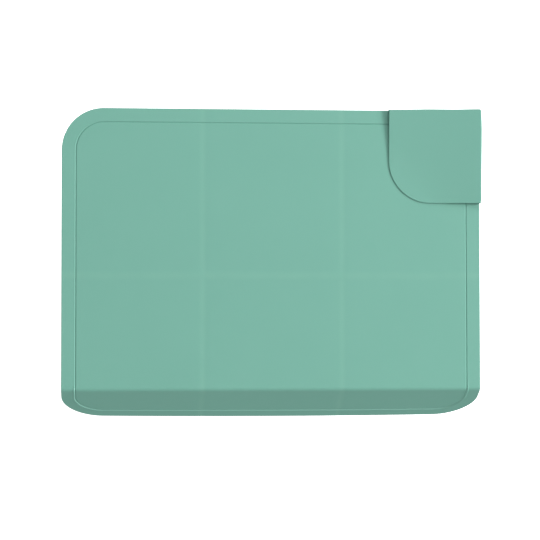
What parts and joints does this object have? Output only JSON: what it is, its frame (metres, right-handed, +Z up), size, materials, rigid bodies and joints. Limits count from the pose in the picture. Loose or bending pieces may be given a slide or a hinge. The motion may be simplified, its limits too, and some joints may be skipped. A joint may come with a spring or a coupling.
{
  "type": "changing pad",
  "caption": "Thin foldable silicone changing mat with rounded corners, a moulded edge groove, a tuck-in corner pocket and a front edge that hangs over a table side.",
  "frame": {"origin": "centre of the flat area's underside, where the mat rests on a table", "axes": "+X along the mat's width to the right, seen with the hanging edge towards the viewer; +Y from the hanging front edge to the rear edge; +Z up, out of the mat's top face"},
  "size_m": [0.6037, 0.4434, 0.077],
  "materials": {
    "silicone_sheet": "satin",
    "silicone_crease": "satin",
    "silicone_pocket": "satin"
  },
  "bodies": {
    "upper_half": {"upper_left_panel": "silicone_sheet", "upper_middle_panel": "silicone_sheet", "upper_right_panel": "silicone_sheet", "upper_left_crease": "silicone_crease", "upper_right_crease": "silicone_crease", "half_fold_web": "silicone_crease", "pocket_edge_roll": "silicone_pocket", "pocket_base_layer": "silicone_pocket", "pocket_fold_web": "silicone_pocket"},
    "lower_half": {"lower_left_panel": "silicone_sheet", "lower_middle_panel": "silicone_sheet", "lower_right_panel": "silicone_sheet", "lower_left_crease": "silicone_crease", "lower_right_crease": "silicone_crease", "front_bend_web": "silicone_crease"},
    "front_edge": {"front_left_edge": "silicone_sheet", "front_middle_edge": "silicone_sheet", "front_right_edge": "silicone_sheet", "front_left_crease": "silicone_crease", "front_right_crease": "silicone_crease"},
    "corner_flap": {"pocket_flap": "silicone_pocket"}
  },
  "joints": [
    {"name": "half_fold", "type": "hinge", "parent": "upper_half", "child": "lower_half", "pos_m": [0, -0.038, 0.0078], "axis": [-1, 0, 0], "range_deg": [0, 179.9], "stiffness_Nm_per_rad": 0.028, "springref_deg": -68.75, "deforming": ["half_fold_web"]},
    {"name": "front_edge_bend", "type": "hinge", "parent": "lower_half", "child": "front_edge", "pos_m": [0, -0.20182, 0.00024], "axis": [1, 0, 0], "range_deg": [-61.5, 28.5], "stiffness_Nm_per_rad": 0.0125, "springref_deg": -61.5, "deforming": ["front_bend_web"]},
    {"name": "corner_flap_lift", "type": "hinge", "parent": "upper_half", "child": "corner_flap", "pos_m": [0.234, 0.133, 0.00765], "axis": [-0.7071, 0.7071, 0], "range_deg": [0, 179.9], "stiffness_Nm_per_rad": 0.005, "springref_deg": -5.73, "deforming": ["pocket_fold_web"]}
  ]
}
